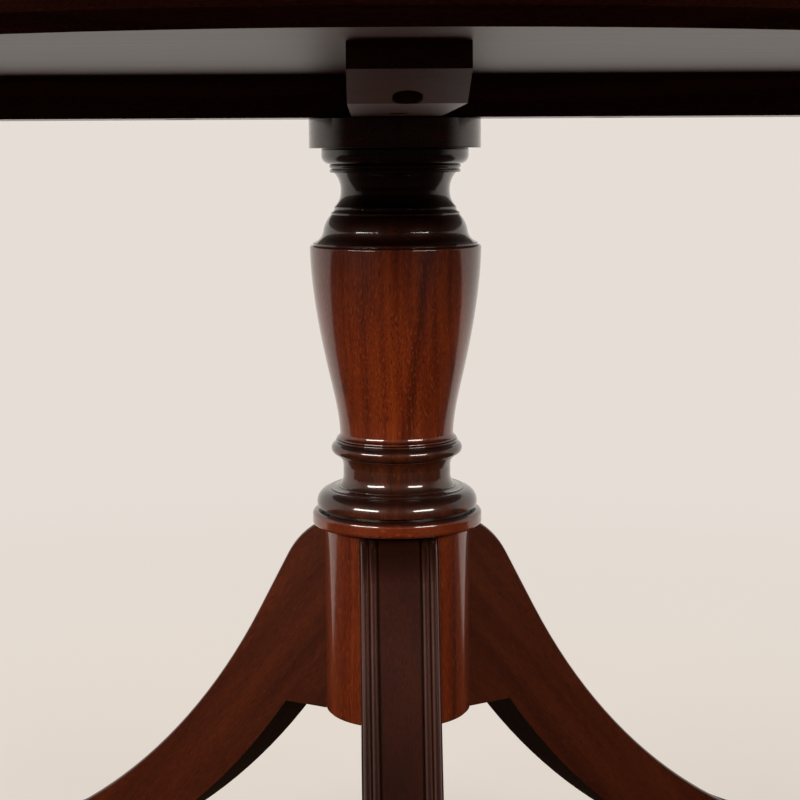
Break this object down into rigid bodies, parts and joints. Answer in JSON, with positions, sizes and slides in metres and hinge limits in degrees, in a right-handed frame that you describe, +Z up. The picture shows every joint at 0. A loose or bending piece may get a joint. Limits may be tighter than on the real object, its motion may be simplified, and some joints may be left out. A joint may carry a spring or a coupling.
{
  "type": "pedestal table",
  "caption": "Round mahogany table on a turned vase column with reeded sabre legs in brass toe caps; it carries a flat top at dining height.",
  "frame": {"origin": "on the floor, under the middle of the column", "axes": "+Z up through the column; one leg points along -Y, the front; +X is to the right seen from the front"},
  "size_m": [1.067, 1.0672, 0.737],
  "materials": {
    "top_mahogany": "gloss lacquer over stained mahogany",
    "polished_mahogany": "gloss lacquer over dark stained mahogany",
    "plain_wood": "unfinished beech",
    "cap_brass": "aged polished brass",
    "glide_plastic": "matt brown nylon",
    "fixing_steel": "zinc plated",
    "blacked_iron": "black lacquered steel"
  },
  "bodies": {
    "root": {"top_board_1": "top_mahogany", "top_board_2": "top_mahogany", "top_board_3": "top_mahogany", "top_board_4": "top_mahogany", "top_board_5": "top_mahogany", "board_tongues": "plain_wood", "column_dowels": "plain_wood", "bearer_across": "polished_mahogany", "bearer_along": "polished_mahogany", "top_disc": "polished_mahogany", "neck_turning": "polished_mahogany", "vase_turning": "polished_mahogany", "foot_turning": "polished_mahogany", "collar_ring": "polished_mahogany", "hub": "polished_mahogany", "front_leg": "polished_mahogany", "rear_right_leg": "polished_mahogany", "rear_left_leg": "polished_mahogany", "front_toe_cap": "cap_brass", "rear_right_toe_cap": "cap_brass", "rear_left_toe_cap": "cap_brass", "toe_cap_pins": "cap_brass", "front_glide": "glide_plastic", "rear_right_glide": "glide_plastic", "rear_left_glide": "glide_plastic", "tie_rod": "fixing_steel", "tie_rod_nuts": "fixing_steel", "tie_rod_washers": "fixing_steel", "top_screws": "fixing_steel", "disc_screws": "fixing_steel", "spider_screws": "fixing_steel", "spider_plate": "blacked_iron"}
  },
  "joints": []
}
